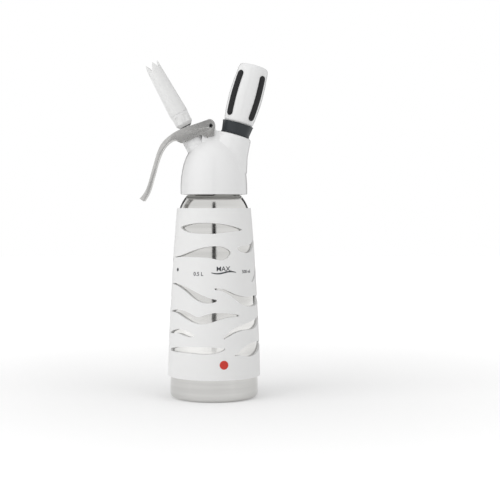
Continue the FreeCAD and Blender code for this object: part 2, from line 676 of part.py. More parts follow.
def cartridge_block(inset):
    shoulder_low = CARTRIDGE_FOOT + CARTRIDGE_NECK_LENGTH
    shoulder_high = shoulder_low + CARTRIDGE_SHOULDER
    top = CARTRIDGE_END
    neck = CARTRIDGE_NECK - inset
    body = CARTRIDGE_RADIUS - inset
    dome_start = CARTRIDGE_END - CARTRIDGE_RADIUS * 0.62
    shoulder = spline([(neck, shoulder_low), (body, shoulder_high)], [(0.4, 1), (0, 1)])
    dome = spline([(body, dome_start), (body * 0.72, top - 1.9 - inset * 0.7), (0, top - inset)], [(0, 1), (-1, 0)])
    edges = [line((0, CARTRIDGE_FOOT + inset), (neck, CARTRIDGE_FOOT + inset))]
    edges.append(line((neck, CARTRIDGE_FOOT + inset), (neck, shoulder_low)))
    edges.append(shoulder.toShape())
    edges.append(line((body, shoulder_high), (body, dome_start)))
    edges.append(dome.toShape())
    edges.append(line((0, top - inset), (0, CARTRIDGE_FOOT + inset)))
    return turned(edges)


def make_gas_charger():
    shell = cartridge_block(0).cut(cartridge_block(CARTRIDGE_WALL))
    return on_charger(shell.cut(rod(PIN_RADIUS + 0.4, CARTRIDGE_FOOT - 1, CARTRIDGE_FOOT + CARTRIDGE_WALL + 1)))


def make_holder_collar():
    lip = 1.0
    root = STUD_ROOT + CHARGER_THREAD_HEIGHT + CHARGER_CLEARANCE
    body = taper(COLLAR_LOW, COLLAR_HIGH, 0, COLLAR_HEIGHT)
    body = body.fuse(rod(COLLAR_LOW + 0.5, 0.0, lip))
    body = body.cut(rod(root, -1, COLLAR_HEIGHT + 1))
    screw = thread(
        root, -CHARGER_THREAD_HEIGHT, CHARGER_PITCH, CHARGER_THREAD_TURNS,
        CHARGER_THREAD_START + CHARGER_PITCH / 2, 0.75, 0.25)
    return on_charger(body.fuse(screw))


def holder_block(rise):
    curve = spline(HOLDER_OUTLINE)
    if rise != 0:
        curve = spline(beside(curve, -rise, 10))
    low, high = ends(curve)
    edges = [curve.toShape(), line(high, (0, high[1])), line((0, high[1]), (0, low[1])), line((0, low[1]), low)]
    return turned(edges)


def grip_prism(angle, margin):
    half = GRIP_WIDTH / 2 + margin
    low = GRIP_LOW + half - margin
    high = GRIP_HIGH - half + margin
    box = Part.makeBox(30, 2 * half, high - low, Vector(0, -half, low))
    ends_round = [Part.makeCylinder(half, 30, Vector(0, 0, level), Vector(1, 0, 0)) for level in (low, high)]
    prism = box.fuse(ends_round)
    prism.rotate(ORIGIN, UP, angle)
    return prism


def make_grip(angle):
    layer = holder_block(GRIP_RISE).cut(holder_block(-GRIP_DEPTH))
    return on_charger(layer.common(grip_prism(angle, 0)))


def make_holder_shell():
    shell = holder_block(0)
    rims = [edge for edge in shell.Edges if edge.BoundBox.ZMin > HOLDER_END - 0.05 and edge.BoundBox.XMax > 5]
    shell = shell.makeFillet(HOLDER_END_CORNER, rims)
    inner = holder_block(-HOLDER_WALL)
    below_end = rod(30, COLLAR_HEIGHT - 5, HOLDER_END - HOLDER_WALL)
    mouth = rod(HOLDER_OUTLINE[0][0] - HOLDER_WALL + 0.3, COLLAR_HEIGHT - 1, COLLAR_HEIGHT + 2)
    shell = shell.cut(inner.common(below_end).fuse(mouth))
    for angle in GRIP_ANGLES:
        shell = shell.cut(grip_prism(angle, 0).cut(holder_block(-GRIP_DEPTH)))
    return on_charger(shell)


def make_holder_pad():
    top = HOLDER_END - HOLDER_WALL
    return on_charger(rod(PAD_RADIUS, CARTRIDGE_END + PAD_GAP, top))


def parts():
    made = {}
    made["bottle"] = make_bottle()
    made["sleeve"] = make_sleeve()
    made["head_cover"] = make_head_cover()
    made["head_core"] = make_head_core()
    made["head_gasket"] = make_head_gasket()
    made["inlet_valve_cap"] = make_inlet_valve_cap()
    made["valve_stem"] = make_valve_stem()
    made["valve_seal"] = make_valve_seal()
    made["stem_o_ring"] = make_stem_o_ring()
    made["valve_spring"] = make_valve_spring()
    made["tip_adapter"] = make_tip_adapter()
    made["stem_washer"] = make_stem_washer()
    made["tip_gasket"] = make_tip_gasket()
    made["decorating_tip"] = make_decorating_tip()
    made["lever"] = make_lever()
    made["lever_pin"] = make_lever_pin()
    made["piercing_pin"] = make_piercing_pin()
    made["charger_gasket"] = make_charger_gasket()
    made["gas_charger"] = make_gas_charger()
    made["holder_collar"] = make_holder_collar()
    made["holder_shell"] = make_holder_shell()
    made["holder_pad"] = make_holder_pad()
    for number, angle in enumerate(GRIP_ANGLES):
        made["grip_" + str(number + 1)] = make_grip(angle)
    return made


os.makedirs("parts", exist_ok=True)
for name, shape in parts().items():
    shape.exportStep("parts/" + name + ".step")
    print(name, shape.isValid(), len(shape.Solids), round(shape.Volume, 1))
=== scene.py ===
import json
import math

import bpy
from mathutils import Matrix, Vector


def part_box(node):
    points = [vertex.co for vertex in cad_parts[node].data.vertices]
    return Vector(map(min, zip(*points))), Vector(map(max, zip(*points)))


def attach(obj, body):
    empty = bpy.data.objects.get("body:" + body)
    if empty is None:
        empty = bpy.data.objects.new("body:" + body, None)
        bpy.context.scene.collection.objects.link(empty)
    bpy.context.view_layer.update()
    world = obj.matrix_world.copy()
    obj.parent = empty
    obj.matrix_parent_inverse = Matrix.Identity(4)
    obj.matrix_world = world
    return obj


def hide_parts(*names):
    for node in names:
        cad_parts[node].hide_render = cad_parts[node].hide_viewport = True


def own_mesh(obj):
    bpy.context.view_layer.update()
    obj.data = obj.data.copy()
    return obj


# Whipped cream dispenser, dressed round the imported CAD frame. Lengths are in metres.

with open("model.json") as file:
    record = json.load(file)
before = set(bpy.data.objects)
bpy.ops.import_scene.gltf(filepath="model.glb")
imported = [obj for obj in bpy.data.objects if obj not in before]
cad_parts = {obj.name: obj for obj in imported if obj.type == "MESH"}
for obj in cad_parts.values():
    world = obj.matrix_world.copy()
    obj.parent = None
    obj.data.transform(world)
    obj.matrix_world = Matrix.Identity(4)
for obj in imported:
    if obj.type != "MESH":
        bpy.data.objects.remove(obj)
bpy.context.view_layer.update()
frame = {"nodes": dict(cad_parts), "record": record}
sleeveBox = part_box("sleeve")
mm = 0.001
behaviour = frame["record"]["behaviour"]
bodyOfNode = {node: body for body, nodes in behaviour["bodies"].items() for node in nodes}
jointOfName = {joint["name"]: joint for joint in behaviour["joints"]}

bpy.ops.object.select_all(action="DESELECT")


# Small helpers

def onlySelect(*pieces):
    bpy.ops.object.select_all(action="DESELECT")
    for piece in pieces:
        piece.select_set(True)
    bpy.context.view_layer.objects.active = pieces[-1]


def applyPlace(piece):
    onlySelect(piece)
    bpy.ops.object.transform_apply(location=True, rotation=True, scale=True)


def addModifier(piece, kind, **settings):
    modifier = piece.modifiers.new(kind.lower(), kind)
    for name, value in settings.items():
        setattr(modifier, name, value)
    return modifier


def applyModifiers(piece):
    onlySelect(piece)
    for modifier in list(piece.modifiers):
        bpy.ops.object.modifier_apply(modifier=modifier.name)


def smoothByAngle(piece, degrees):
    onlySelect(piece)
    bpy.ops.object.shade_smooth_by_angle(angle=math.radians(degrees))


def wear(piece, material):
    piece.data.materials.clear()
    piece.data.materials.append(material)


def lathe(name, outline, turns):
    # One vertex is drawn along the outline, from point to point, and then spun about Z
    bpy.context.tool_settings.mesh_select_mode = (True, False, False)
    bpy.ops.mesh.primitive_plane_add(size=0.001, location=(0, 0, 0))
    piece = bpy.context.object
    piece.name = name
    bpy.ops.object.mode_set(mode="EDIT")
    bpy.ops.mesh.select_all(action="SELECT")
    bpy.ops.mesh.merge(type="CENTER")
    first = outline[0]
    bpy.ops.transform.translate(value=(first[0], 0, first[1]))
    for last, spot in zip(outline, outline[1:]):
        step = (spot[0] - last[0], 0, spot[1] - last[1])
        bpy.ops.mesh.extrude_region_move(TRANSFORM_OT_translate={"value": step})
    bpy.ops.mesh.select_all(action="SELECT")
    bpy.ops.mesh.spin(steps=turns, angle=2 * math.pi, center=(0, 0, 0), axis=(0, 0, 1))
    bpy.ops.mesh.select_all(action="SELECT")
    bpy.ops.mesh.remove_doubles(threshold=0.00001)
    bpy.ops.mesh.normals_make_consistent(inside=False)
    bpy.ops.object.mode_set(mode="OBJECT")
    return piece


def copyNode(node, dissolve=0.3):
    # The node's loose triangles are merged, and faces that lie flat within the angle become one
    mesh = frame["nodes"][node].data.copy()
    piece = bpy.data.objects.new(node + "Dressed", mesh)
    bpy.context.scene.collection.objects.link(piece)
    onlySelect(piece)
    bpy.ops.object.mode_set(mode="EDIT")
    bpy.ops.mesh.select_all(action="SELECT")
    bpy.ops.mesh.remove_doubles(threshold=0.000002)
    if dissolve:
        bpy.ops.mesh.select_all(action="SELECT")
        bpy.ops.mesh.dissolve_limited(angle_limit=math.radians(dissolve))
    bpy.ops.object.mode_set(mode="OBJECT")
    return piece


def standFor(piece, node, material):
    wear(piece, material)
    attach(piece, bodyOfNode[node])
    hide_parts(node)


# Shader groups shared by the materials

def newGroup(name, inputs, outputs):
    group = bpy.data.node_groups.new(name, "ShaderNodeTree")
    for label, kind, value in inputs:
        socket = group.interface.new_socket(label, in_out="INPUT", socket_type=kind)
        socket.default_value = value
    for label, kind in outputs:
        group.interface.new_socket(label, in_out="OUTPUT", socket_type=kind)
    start = group.nodes.new("NodeGroupInput")
    end = group.nodes.new("NodeGroupOutput")
    return group, start, end


def addNode(tree, kind, **settings):
    node = tree.nodes.new(kind)
    for name, value in settings.items():
        setattr(node, name, value)
    return node


def makeGrainGroup():
    # Fine even noise: a height for bumps and a mask that drifts slowly over the surface
    inputs = [("Scale", "NodeSocketFloat", 800.0), ("Drift Scale", "NodeSocketFloat", 25.0)]
    outputs = [("Height", "NodeSocketFloat"), ("Drift", "NodeSocketFloat")]
    group, start, end = newGroup("fineGrain", inputs, outputs)
    place = addNode(group, "ShaderNodeTexCoord")
    fine = addNode(group, "ShaderNodeTexNoise")
    slow = addNode(group, "ShaderNodeTexNoise")
    fine.inputs["Detail"].default_value = 3.0
    slow.inputs["Detail"].default_value = 2.0
    for noise, label in ((fine, "Scale"), (slow, "Drift Scale")):
        group.links.new(place.outputs["Object"], noise.inputs["Vector"])
        group.links.new(start.outputs[label], noise.inputs["Scale"])
    group.links.new(fine.outputs["Fac"], end.inputs["Height"])
    group.links.new(slow.outputs["Fac"], end.inputs["Drift"])
    return group


def makeBrushGroup():
    # Brushed lines: noise squeezed along one direction of the piece, and broader streaks the same way
    inputs = [("Stretch", "NodeSocketVector", (1.0, 1.0, 1.0)), ("Streak Share", "NodeSocketFloat", 0.22)]
    outputs = [("Height", "NodeSocketFloat"), ("Streak", "NodeSocketFloat")]
    group, start, end = newGroup("brushedLines", inputs, outputs)
    place = addNode(group, "ShaderNodeTexCoord")
    squeeze = addNode(group, "ShaderNodeVectorMath", operation="MULTIPLY")
    lines = addNode(group, "ShaderNodeTexNoise")
    broad = addNode(group, "ShaderNodeTexNoise")
    lines.inputs["Scale"].default_value = 1.0
    lines.inputs["Detail"].default_value = 4.0
    group.links.new(place.outputs["Object"], squeeze.inputs[0])
    group.links.new(start.outputs["Stretch"], squeeze.inputs[1])
    group.links.new(start.outputs["Streak Share"], broad.inputs["Scale"])
    for noise in (lines, broad):
        group.links.new(squeeze.outputs["Vector"], noise.inputs["Vector"])
    group.links.new(lines.outputs["Fac"], end.inputs["Height"])
    group.links.new(broad.outputs["Fac"], end.inputs["Streak"])
    return group


fineGrain = makeGrainGroup()
brushedLines = makeBrushGroup()

# Each finish drifts between its color and its shade, and between two roughnesses
finishes = {
    "polishedSteel": {
        "color": (0.74, 0.735, 0.72), "shade": (0.54, 0.535, 0.52),
        "rough": (0.09, 0.17), "metal": 1.0,
        "brush": {"stretch": (40, 40, 900), "bump": 0.02},
    },
    "brushedSteel": {
        "color": (0.66, 0.655, 0.64), "shade": (0.48, 0.475, 0.465),
        "rough": (0.22, 0.34), "metal": 1.0,
        "brush": {"stretch": (900, 60, 900), "bump": 0.03},
    },
    "turnedSteel": {
        "color": (0.6, 0.6, 0.6), "shade": (0.5, 0.5, 0.5),
        "rough": (0.22, 0.32), "metal": 1.0,
        "grain": {"scale": 900, "drift": 60, "bump": 0.03},
    },
    "silicone": {
        "color": (0.86, 0.86, 0.855), "shade": (0.82, 0.82, 0.815),
        "rough": (0.48, 0.6), "metal": 0.0,
        "grain": {"scale": 1400, "drift": 18, "bump": 0.05},
    },
    "glossWhite": {
        "color": (0.86, 0.86, 0.86), "shade": (0.84, 0.84, 0.84),
        "rough": (0.16, 0.24), "metal": 0.0,
        "grain": {"scale": 500, "drift": 20, "bump": 0.01},
    },
    "nozzlePlastic": {
        "color": (0.84, 0.84, 0.835), "shade": (0.8, 0.8, 0.795),
        "rough": (0.28, 0.4), "metal": 0.0,
        "grain": {"scale": 700, "drift": 40, "bump": 0.02},
    },
    "corePlastic": {
        "color": (0.78, 0.78, 0.77), "shade": (0.74, 0.74, 0.73),
        "rough": (0.35, 0.45), "metal": 0.0,
        "grain": {"scale": 700, "drift": 40, "bump": 0.03},
    },
    "gripRubber": {
        "color": (0.012, 0.012, 0.013), "shade": (0.02, 0.02, 0.021),
        "rough": (0.5, 0.68), "metal": 0.0, "shine": 0.22,
        "grain": {"scale": 2200, "drift": 120, "bump": 0.12},
    },
    "collarPlastic": {
        "color": (0.022, 0.027, 0.031), "shade": (0.034, 0.039, 0.044),
        "rough": (0.26, 0.4), "metal": 0.0, "shine": 0.3,
        "grain": {"scale": 1500, "drift": 90, "bump": 0.06},
    },
    "sealRubber": {
        "color": (0.03, 0.03, 0.03), "shade": (0.045, 0.045, 0.045),
        "rough": (0.55, 0.7), "metal": 0.0,
        "grain": {"scale": 1800, "drift": 90, "bump": 0.08},
    },
    "boreShade": {
        "color": (0.02, 0.02, 0.02), "shade": (0.035, 0.035, 0.035),
        "rough": (0.5, 0.7), "metal": 0.6,
        "grain": {"scale": 1800, "drift": 200, "bump": 0.05},
    },
    # Near-black steel for the lever's outer fold rounds: a painted dark reflection of the surroundings along
    # the fold
    "paintedFoldReflection": {
        "color": (0.045, 0.045, 0.044), "shade": (0.09, 0.09, 0.088),
        "rough": (0.35, 0.5), "metal": 1.0,
        "grain": {"scale": 1500, "drift": 200, "bump": 0.05},
    },
    "printInk": {
        "color": (0.03, 0.033, 0.04), "shade": (0.05, 0.053, 0.06),
        "rough": (0.42, 0.55), "metal": 0.0, "shine": 0.3,
        "grain": {"scale": 1600, "drift": 300, "bump": 0.04},
    },
    "redInk": {
        "color": (0.62, 0.035, 0.02), "shade": (0.55, 0.03, 0.018),
        "rough": (0.4, 0.52), "metal": 0.0,
        "grain": {"scale": 1600, "drift": 300, "bump": 0.04},
    },
    "chargerSteel": {
        "color": (0.66, 0.67, 0.69), "shade": (0.58, 0.59, 0.61),
        "rough": (0.2, 0.3), "metal": 1.0,
        "grain": {"scale": 1000, "drift": 70, "bump": 0.02},
    },
}
grainDepth = 0.0002


def makeFinish(name, look):
    material = bpy.data.materials.new(name)
    material.use_nodes = True
    tree = material.node_tree
    shader = tree.nodes["Principled BSDF"]
    shader.inputs["Metallic"].default_value = look["metal"]
    shader.inputs["Specular IOR Level"].default_value = look.get("shine", 0.5)
    colors = addNode(tree, "ShaderNodeMix", data_type="RGBA")
    colors.inputs["A"].default_value = (*look["color"], 1)
    colors.inputs["B"].default_value = (*look["shade"], 1)
    rough = addNode(tree, "ShaderNodeMapRange")
    rough.inputs["To Min"].default_value = look["rough"][0]
    rough.inputs["To Max"].default_value = look["rough"][1]
    bump = addNode(tree, "ShaderNodeBump")
    effect = addNode(tree, "ShaderNodeGroup")
    if "brush" in look:
        brush = look["brush"]
        effect.node_tree = brushedLines
        effect.inputs["Stretch"].default_value = brush["stretch"]
        mask = effect.outputs["Streak"]
        bump.inputs["Strength"].default_value = brush["bump"]
    else:
        grain = look["grain"]
        effect.node_tree = fineGrain
        effect.inputs["Scale"].default_value = grain["scale"]
        effect.inputs["Drift Scale"].default_value = grain["drift"]
        mask = effect.outputs["Drift"]
        bump.inputs["Strength"].default_value = grain["bump"]
    bump.inputs["Distance"].default_value = grainDepth
    tree.links.new(mask, colors.inputs["Factor"])
    tree.links.new(mask, rough.inputs["Value"])
    tree.links.new(effect.outputs["Height"], bump.inputs["Height"])
    tree.links.new(colors.outputs["Result"], shader.inputs["Base Color"])
    tree.links.new(rough.outputs["Result"], shader.inputs["Roughness"])
    tree.links.new(bump.outputs["Normal"], shader.inputs["Normal"])
    return material


materials = {name: makeFinish(name, look) for name, look in finishes.items()}
print("materials made", len(materials))


# Sleeve: silicone skin with softened window rims and even shading round the bottle

sleeve = {
    "rimRound": 0.00045, "rimSegments": 2, "rimSharp": 40, "skinSlope": 50,
    "lowRadius": 0.0431, "highRadius": 0.03425, "swell": 0.0013,
}


def makeSleeve():
    piece = copyNode("sleeve", 0.05)
    bpy.ops.object.mode_set(mode="EDIT")
    bpy.ops.mesh.select_all(action="DESELECT")
    bpy.ops.mesh.edges_select_sharp(sharpness=math.radians(sleeve["rimSharp"]))
    size = {"offset": sleeve["rimRound"], "segments": sleeve["rimSegments"]}
    bpy.ops.mesh.bevel(profile=0.5, clamp_overlap=True, **size)
    bpy.ops.object.mode_set(mode="OBJECT")
    piece.data.shade_smooth()
    shadeRound(piece, sleeve["skinSlope"])
    standFor(piece, "sleeve", materials["silicone"])


def shadeRound(piece, slope):
    # Faces that look straight out or in are shaded as the turned surface they lie on
    mesh = piece.data
    lean = math.atan((sleeve["lowRadius"] - sleeve["highRadius"]) / (sleeveBox[1].z - sleeveBox[0].z))
    normals = [None] * len(mesh.loops)
    for face in mesh.polygons:
        for index in face.loop_indices:
            spot = mesh.vertices[mesh.loops[index].vertex_index].co
            out = Vector((spot.x, spot.y, 0)).normalized() * math.cos(lean) + Vector((0, 0, math.sin(lean)))
            facing = face.normal.dot(out)
            if abs(facing) > math.cos(math.radians(slope)):
                normals[index] = out * (1 if facing > 0 else -1)
            else:
                normals[index] = mesh.corner_normals[index].vector.copy()
    mesh.normals_split_custom_set(normals)


# Print on the sleeve: a fill line with plain words, each letter bent round the skin

marks = {
    "lift": 0.00004,
    "depth": 0.00006,
    "bold": 0.006,
    "dotSides": 48,
    "dotRings": 7,
    "words": [
        {"text": "MAX.", "angle": 13.5, "height": 0.1192, "size": 0.0060},
        {"text": "0.5 L", "angle": -21.5, "height": 0.1150, "size": 0.0048},
        {"text": "500 ml", "angle": 49.5, "height": 0.1168, "size": 0.0042},
    ],
    "line": {"angles": (-4, 31), "height": 0.1178, "wave": 0.0009, "thick": 0.0013,
             "thinEnd": 0.25, "steps": 28},
    "dots": [{"angle": -59, "height": 0.1197, "radius": 0.0016, "finish": "printInk"},
             {"angle": 12, "height": 0.0347, "radius": 0.0040, "finish": "redInk"}],
}


def skinRadius(height):
    # The skin bulges a little between its low and high radius, like a shallow arc
    share = (height - sleeveBox[0].z) / (sleeveBox[1].z - sleeveBox[0].z)
    straight = sleeve["lowRadius"] + (sleeve["highRadius"] - sleeve["lowRadius"]) * share
    return straight + 4 * sleeve["swell"] * share * (1 - share)


def bendRound(piece, angle, height):
    # A flat drawing in X and Y is laid on the skin; its Z becomes the distance from the skin
    for vertex in piece.data.vertices:
        across, up, off = vertex.co
        level = height + up
        radius = skinRadius(level) + marks["lift"] + off
        turn = math.radians(angle) + across / skinRadius(height)
        vertex.co = (radius * math.sin(turn), -radius * math.cos(turn), level)
    onlySelect(piece)
    bpy.ops.object.mode_set(mode="EDIT")
    bpy.ops.mesh.select_all(action="SELECT")
    bpy.ops.mesh.normals_make_consistent(inside=False)
    bpy.ops.object.mode_set(mode="OBJECT")


def finishMark(piece, finish):
    wear(piece, materials[finish])
    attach(piece, "bottle")


def makeWord(number, word):
    bpy.ops.object.text_add(location=(0, 0, 0))
    piece = bpy.context.object
    piece.name = "sleevePrint" + str(number)
    piece.data.body = word["text"]
    piece.data.size = word["size"]
    piece.data.align_x = "CENTER"
    piece.data.extrude = marks["depth"]
    piece.data.offset = word["size"] * marks["bold"]
    piece.data.resolution_u = 4
    onlySelect(piece)
    bpy.ops.object.convert(target="MESH")
    piece = bpy.context.object
    bendRound(piece, word["angle"], word["height"])
    finishMark(piece, "printInk")


def makeLevelLine():
    look = marks["line"]
    first, last = look["angles"]
    radius = skinRadius(look["height"])
    length = math.radians(last - first) * radius
    bpy.ops.mesh.primitive_grid_add(x_subdivisions=look["steps"], y_subdivisions=2, size=1)
    piece = bpy.context.object
    piece.name = "sleeveFillLine"
    piece.scale = (length, look["thick"], 1)
    applyPlace(piece)
    for vertex in piece.data.vertices:
        share = vertex.co.x / length + 0.5
        swell = math.sin(math.pi * share) ** 0.5 if 0 < share < 1 else 0
        thickness = look["thinEnd"] + (1 - look["thinEnd"]) * swell
        vertex.co.y = vertex.co.y * thickness - look["wave"] * math.sin(2 * math.pi * share)
    addModifier(piece, "SOLIDIFY", thickness=2 * marks["depth"], offset=0)
    applyModifiers(piece)
    bendRound(piece, (first + last) / 2, look["height"])
    finishMark(piece, "printInk")


def makeDot(number, dot):
    depth = 2 * marks["depth"]
    bpy.ops.mesh.primitive_cylinder_add(vertices=marks["dotSides"], radius=dot["radius"], depth=depth)
    piece = bpy.context.object
    piece.name = "sleeveDot" + str(number)
    for face in piece.data.polygons:
        face.select = face.normal.z > 0.9
    bpy.context.tool_settings.mesh_select_mode = (False, False, True)
    bpy.ops.object.mode_set(mode="EDIT")
    for _ in range(marks["dotRings"]):
        bpy.ops.mesh.inset(thickness=dot["radius"] / (marks["dotRings"] + 1))
    bpy.ops.object.mode_set(mode="OBJECT")
    bendRound(piece, dot["angle"], dot["height"])
    finishMark(piece, dot["finish"])


def makeMarks():
    for number, word in enumerate(marks["words"]):
        makeWord(number + 1, word)
    makeLevelLine()
    for number, dot in enumerate(marks["dots"]):
        makeDot(number + 1, dot)


# Head cover: moulded plastic, so its joins are soft

headCover = {"voxel": 0.00058, "smoothRounds": 4, "smoothShare": 0.5}


def moulded(node, finish, look):
    piece = copyNode(node, 0)
    remesh = addModifier(piece, "REMESH", mode="VOXEL", voxel_size=look["voxel"])
    addModifier(piece, "SMOOTH", factor=look["smoothShare"], iterations=look["smoothRounds"])
    applyModifiers(piece)
    piece.data.shade_smooth()
    standFor(piece, node, materials[finish])
    return piece


# Lever: folded sheet with rounded edges

lever = {
    "foldRound": 0.0011, "foldSegments": 3, "flankSlack": 0.0001, "sideways": 0.5, "backLean": 0.1,
    "edgeRound": 0.00018, "edgeSegments": 1, "edgeSharp": 40,
    "pinRound": 0.00015, "boreRadius": 0.00152,
}
sharpAngle = 35


def sharpEdges(mesh, sharpness):
    # Each sharp edge, by its vertex numbers, with the normals of the two faces that meet there
    normals = {}
    for face in mesh.polygons:
        for key in face.edge_keys:
            normals.setdefault(key, []).append(face.normal.copy())
    limit = math.cos(math.radians(sharpness))
    pairs = {key: pair for key, pair in normals.items() if len(pair) == 2}
    return {key: pair for key, pair in pairs.items() if pair[0].dot(pair[1]) < limit}


def roundEdges(piece, chosen, offset, segments, slot=-1):
    # Chosen edges, given by their vertex numbers, are rounded; the new faces may take a material slot
    bpy.context.tool_settings.mesh_select_mode = (False, True, False)
    for part in (piece.data.vertices, piece.data.edges, piece.data.polygons):
        part.foreach_set("select", [False] * len(part))
    for edge in piece.data.edges:
        edge.select = tuple(edge.key) in chosen
    onlySelect(piece)
    bpy.ops.object.mode_set(mode="EDIT")
    bpy.ops.mesh.bevel(offset=offset, segments=segments, profile=0.5, clamp_overlap=True, material=slot)
    bpy.ops.object.mode_set(mode="OBJECT")


def softEdges(node, finish, offset, segments, pick):
    piece = copyNode(node, 0.3)
    spots = piece.data.vertices
    sharp = sharpEdges(piece.data, sharpAngle)
    chosen = {key for key in sharp if pick((spots[key[0]].co + spots[key[1]].co) / 2)}
    roundEdges(piece, chosen, offset, segments)
    smoothByAngle(piece, sharpAngle)
    standFor(piece, node, materials[finish])
    return piece


def makeLever():
    piece = copyNode("lever", 0.3)
    standFor(piece, "lever", materials["brushedSteel"])
    # Slot 1 is the near-black steel that paints a dark reflection on the outer fold rounds
    piece.data.materials.append(materials["paintedFoldReflection"])
    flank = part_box("lever")[1].y - lever["flankSlack"]
    spots = piece.data.vertices
    folds = set()
    for key, pair in sharpEdges(piece.data, sharpAngle).items():
        outside = abs(spots[key[0]].co.y) > flank and abs(spots[key[1]].co.y) > flank
        backward = [way for way in pair if abs(way.y) < lever["sideways"] and way.z - way.x > lever["backLean"]]
        if outside and backward:
            folds.add(key)
    # The outer fold rounds take slot 1, so they carry the painted dark reflection
    roundEdges(piece, folds, lever["foldRound"], lever["foldSegments"], 1)
    chosen = set(sharpEdges(piece.data, lever["edgeSharp"]))
    roundEdges(piece, chosen, lever["edgeRound"], lever["edgeSegments"])
    smoothByAngle(piece, sharpAngle)


def makeLeverPin():
    # A hollow rivet: its bore lies in shade
    piece = softEdges("lever_pin", "turnedSteel", lever["pinRound"], 2, lambda spot: True)
    piece.data.materials.append(materials["boreShade"])
    middle = (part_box("lever_pin")[0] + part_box("lever_pin")[1]) / 2
    for face in piece.data.polygons:
        away = math.hypot(face.center.x - middle.x, face.center.z - middle.z)
        if away < lever["boreRadius"]:
            face.material_index = 1


# Charger holder: turned barrel with faint flutes, rubber grips and a dark collar
# Outlines are radius and height along the charger's axis, in millimetres

holder = {
    "joint": "holder_unscrew",
    "outside": [(13.8, 10.7), (14.6, 15), (15.35, 21), (15.95, 28), (16.2, 34), (16.15, 41), (15.8, 48),
                (15.2, 55), (14.6, 60.6), (14.25, 62.8), (13.6, 64.5), (12.5, 65.6), (11.0, 66.0), (0, 66.0)],
    "inside": [(0, 63.8), (11.2, 63.8), (12.4, 61), (13.4, 50), (13.9, 34), (13.0, 20), (11.9, 13),
               (11.9, 10.7)],
    "steps": 96,
    "quarter": 90,
    "fluteAngles": (-11.25, 11.25),
    "fluteSlack": 0.5,
    "fluteFloor": 0.968,
    "fluteSkin": 13.95,
    "fluteSpan": (13.0, 61.5),
    "smoothAngle": 50,
    "grip": {"voxel": 0.00024, "smoothRounds": 5, "smoothShare": 0.5},
}
collar = {
    "outline": [(11.9, 0.0), (13.1, 0.0), (13.45, 0.3), (13.45, 0.9), (13.05, 1.3), (13.15, 1.8),
                (14.35, 9.8), (14.6, 10.0), (14.6, 10.5), (14.35, 10.7), (11.9, 10.7)],
    "steps": 128,
    "smoothAngle": 40,
}


def ontoAxis(piece, jointName):
    # A piece drawn upright at the origin is laid on the joint's axis, which leans in the XZ plane
    joint = jointOfName[jointName]
    piece.location = joint["pos_m"]
    piece.rotation_euler = (0, math.atan2(joint["axis"][0], joint["axis"][2]), 0)
    applyPlace(piece)


def makeHolder():
    outline = [(r * mm, z * mm) for r, z in holder["outside"] + holder["inside"]]
    outline.append(outline[0])
    shell = lathe("holderShellDressed", outline, holder["steps"])
    low, high = holder["fluteSpan"]
    for vertex in shell.data.vertices:
        bearing = math.degrees(math.atan2(vertex.co.y, vertex.co.x)) % holder["quarter"]
        bearing = bearing - holder["quarter"] if bearing > holder["quarter"] / 2 else bearing
        outer = math.hypot(vertex.co.x, vertex.co.y) > holder["fluteSkin"] * mm
        near = min(abs(bearing - flute) for flute in holder["fluteAngles"]) < holder["fluteSlack"]
        vertex.select = outer and near and low * mm < vertex.co.z < high * mm
    bpy.context.tool_settings.mesh_select_mode = (True, False, False)
    onlySelect(shell)
    bpy.ops.object.mode_set(mode="EDIT")
    share = holder["fluteFloor"]
    bpy.ops.transform.resize(value=(share, share, 1), center_override=(0, 0, 0))
    bpy.ops.object.mode_set(mode="OBJECT")
    addModifier(shell, "SUBSURF", levels=1, render_levels=1)
    applyModifiers(shell)
    smoothByAngle(shell, holder["smoothAngle"])
    ontoAxis(shell, holder["joint"])
    standFor(shell, "holder_shell", materials["glossWhite"])
    for node in bodyOfNode:
        if node.startswith("grip_"):
            moulded(node, "gripRubber", holder["grip"])


def makeCollar():
    outline = [(r * mm, z * mm) for r, z in collar["outline"]]
    outline.append(outline[0])
    ringPiece = lathe("holderCollarDressed", outline, collar["steps"])
    smoothByAngle(ringPiece, collar["smoothAngle"])
    ontoAxis(ringPiece, holder["joint"])
    standFor(ringPiece, "holder_collar", materials["collarPlastic"])


# Nozzle: adapter and toothed tip with softened outer edges

nozzle = {
    "joint": "tip_unscrew",
    "edgeRound": 0.0003, "edgeSegments": 2,
    "tipFoot": 0.0087, "tipEnd": 0.0065, "tipLow": 0.0099, "tipTop": 0.0638, "skin": 0.0004,
    "adapterTop": 0.00995, "adapterInner": 0.0056,
}


def alongNozzle(spot):
    # A place given as its height along the nozzle's axis and its distance from it
    axis = Vector(jointOfName[nozzle["joint"]]["axis"])
    offset = spot - Vector(jointOfName[nozzle["joint"]]["pos_m"])
    height = offset.dot(axis)
    return height, (offset - axis * height).length


def onTipSkin(spot):
    height, radius = alongNozzle(spot)
    share = (height - nozzle["tipLow"]) / (nozzle["tipTop"] - nozzle["tipLow"])
    return radius > nozzle["tipFoot"] + (nozzle["tipEnd"] - nozzle["tipFoot"]) * share - nozzle["skin"]


def onAdapterSkin(spot):
    height, radius = alongNozzle(spot)
    return height < nozzle["adapterTop"] and radius > nozzle["adapterInner"]


def makeNozzle():
    for node, pick in (("decorating_tip", onTipSkin), ("tip_adapter", onAdapterSkin)):
        softEdges(node, "nozzlePlastic", nozzle["edgeRound"], nozzle["edgeSegments"], pick)


# Valve spring: copied from the frame, shaded smooth and given a mesh of its own

spring = {"seat": -0.0270, "keep": 0.82, "smoothAngle": 60}


def makeSpring():
    piece = copyNode("valve_spring")
    smoothByAngle(piece, spring["smoothAngle"])
    standFor(piece, "valve_spring", materials["turnedSteel"])
    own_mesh(piece)


# Pieces carried over from the frame with smooth shading

